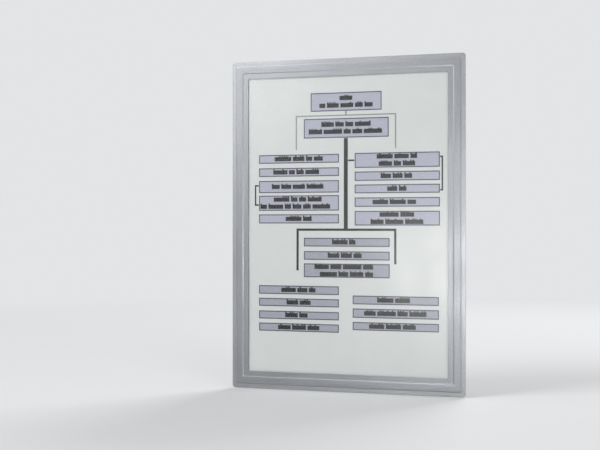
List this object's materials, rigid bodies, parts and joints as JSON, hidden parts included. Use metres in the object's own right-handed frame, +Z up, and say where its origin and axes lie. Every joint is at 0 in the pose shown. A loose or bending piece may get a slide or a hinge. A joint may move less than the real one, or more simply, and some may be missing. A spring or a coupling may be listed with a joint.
{
  "type": "magnetic display frame",
  "caption": "Flat upright display frame with a silver border and a clear window over an A4 sheet, held to steel by magnet strips, with a cover that swings open on a film hinge.",
  "frame": {"origin": "middle of the plane of the rear magnet strips' faces, which lie on the steel surface", "axes": "+Z up along the long side, +Y out of the back into the steel surface, +X to the right seen from the front; the hinge is on the -X side"},
  "size_m": [0.236, 0.0036, 0.323],
  "materials": {
    "silver_foil": "satin metallic silver film",
    "clear_film": "clear anti-glare film",
    "milky_film": "milky translucent film",
    "magnet_rubber": "matt extruded magnet strip",
    "paper": "plain printed office paper"
  },
  "bodies": {
    "back": {"back_panel": "milky_film", "back_magnet_top": "magnet_rubber", "back_magnet_bottom": "magnet_rubber", "back_magnet_left": "magnet_rubber", "back_magnet_right": "magnet_rubber", "insert_sheet": "paper", "hinge_film": "clear_film"},
    "cover": {"border_foil": "silver_foil", "window_film": "clear_film", "cover_magnet_top": "magnet_rubber", "cover_magnet_bottom": "magnet_rubber", "cover_magnet_left": "magnet_rubber", "cover_magnet_right": "magnet_rubber"}
  },
  "joints": [
    {"name": "cover_hinge", "type": "hinge", "parent": "back", "child": "cover", "pos_m": [-0.1179, -0.00213, 0], "axis": [0, 0, -1], "range_deg": [0, 180], "deforming": ["hinge_film"]}
  ]
}
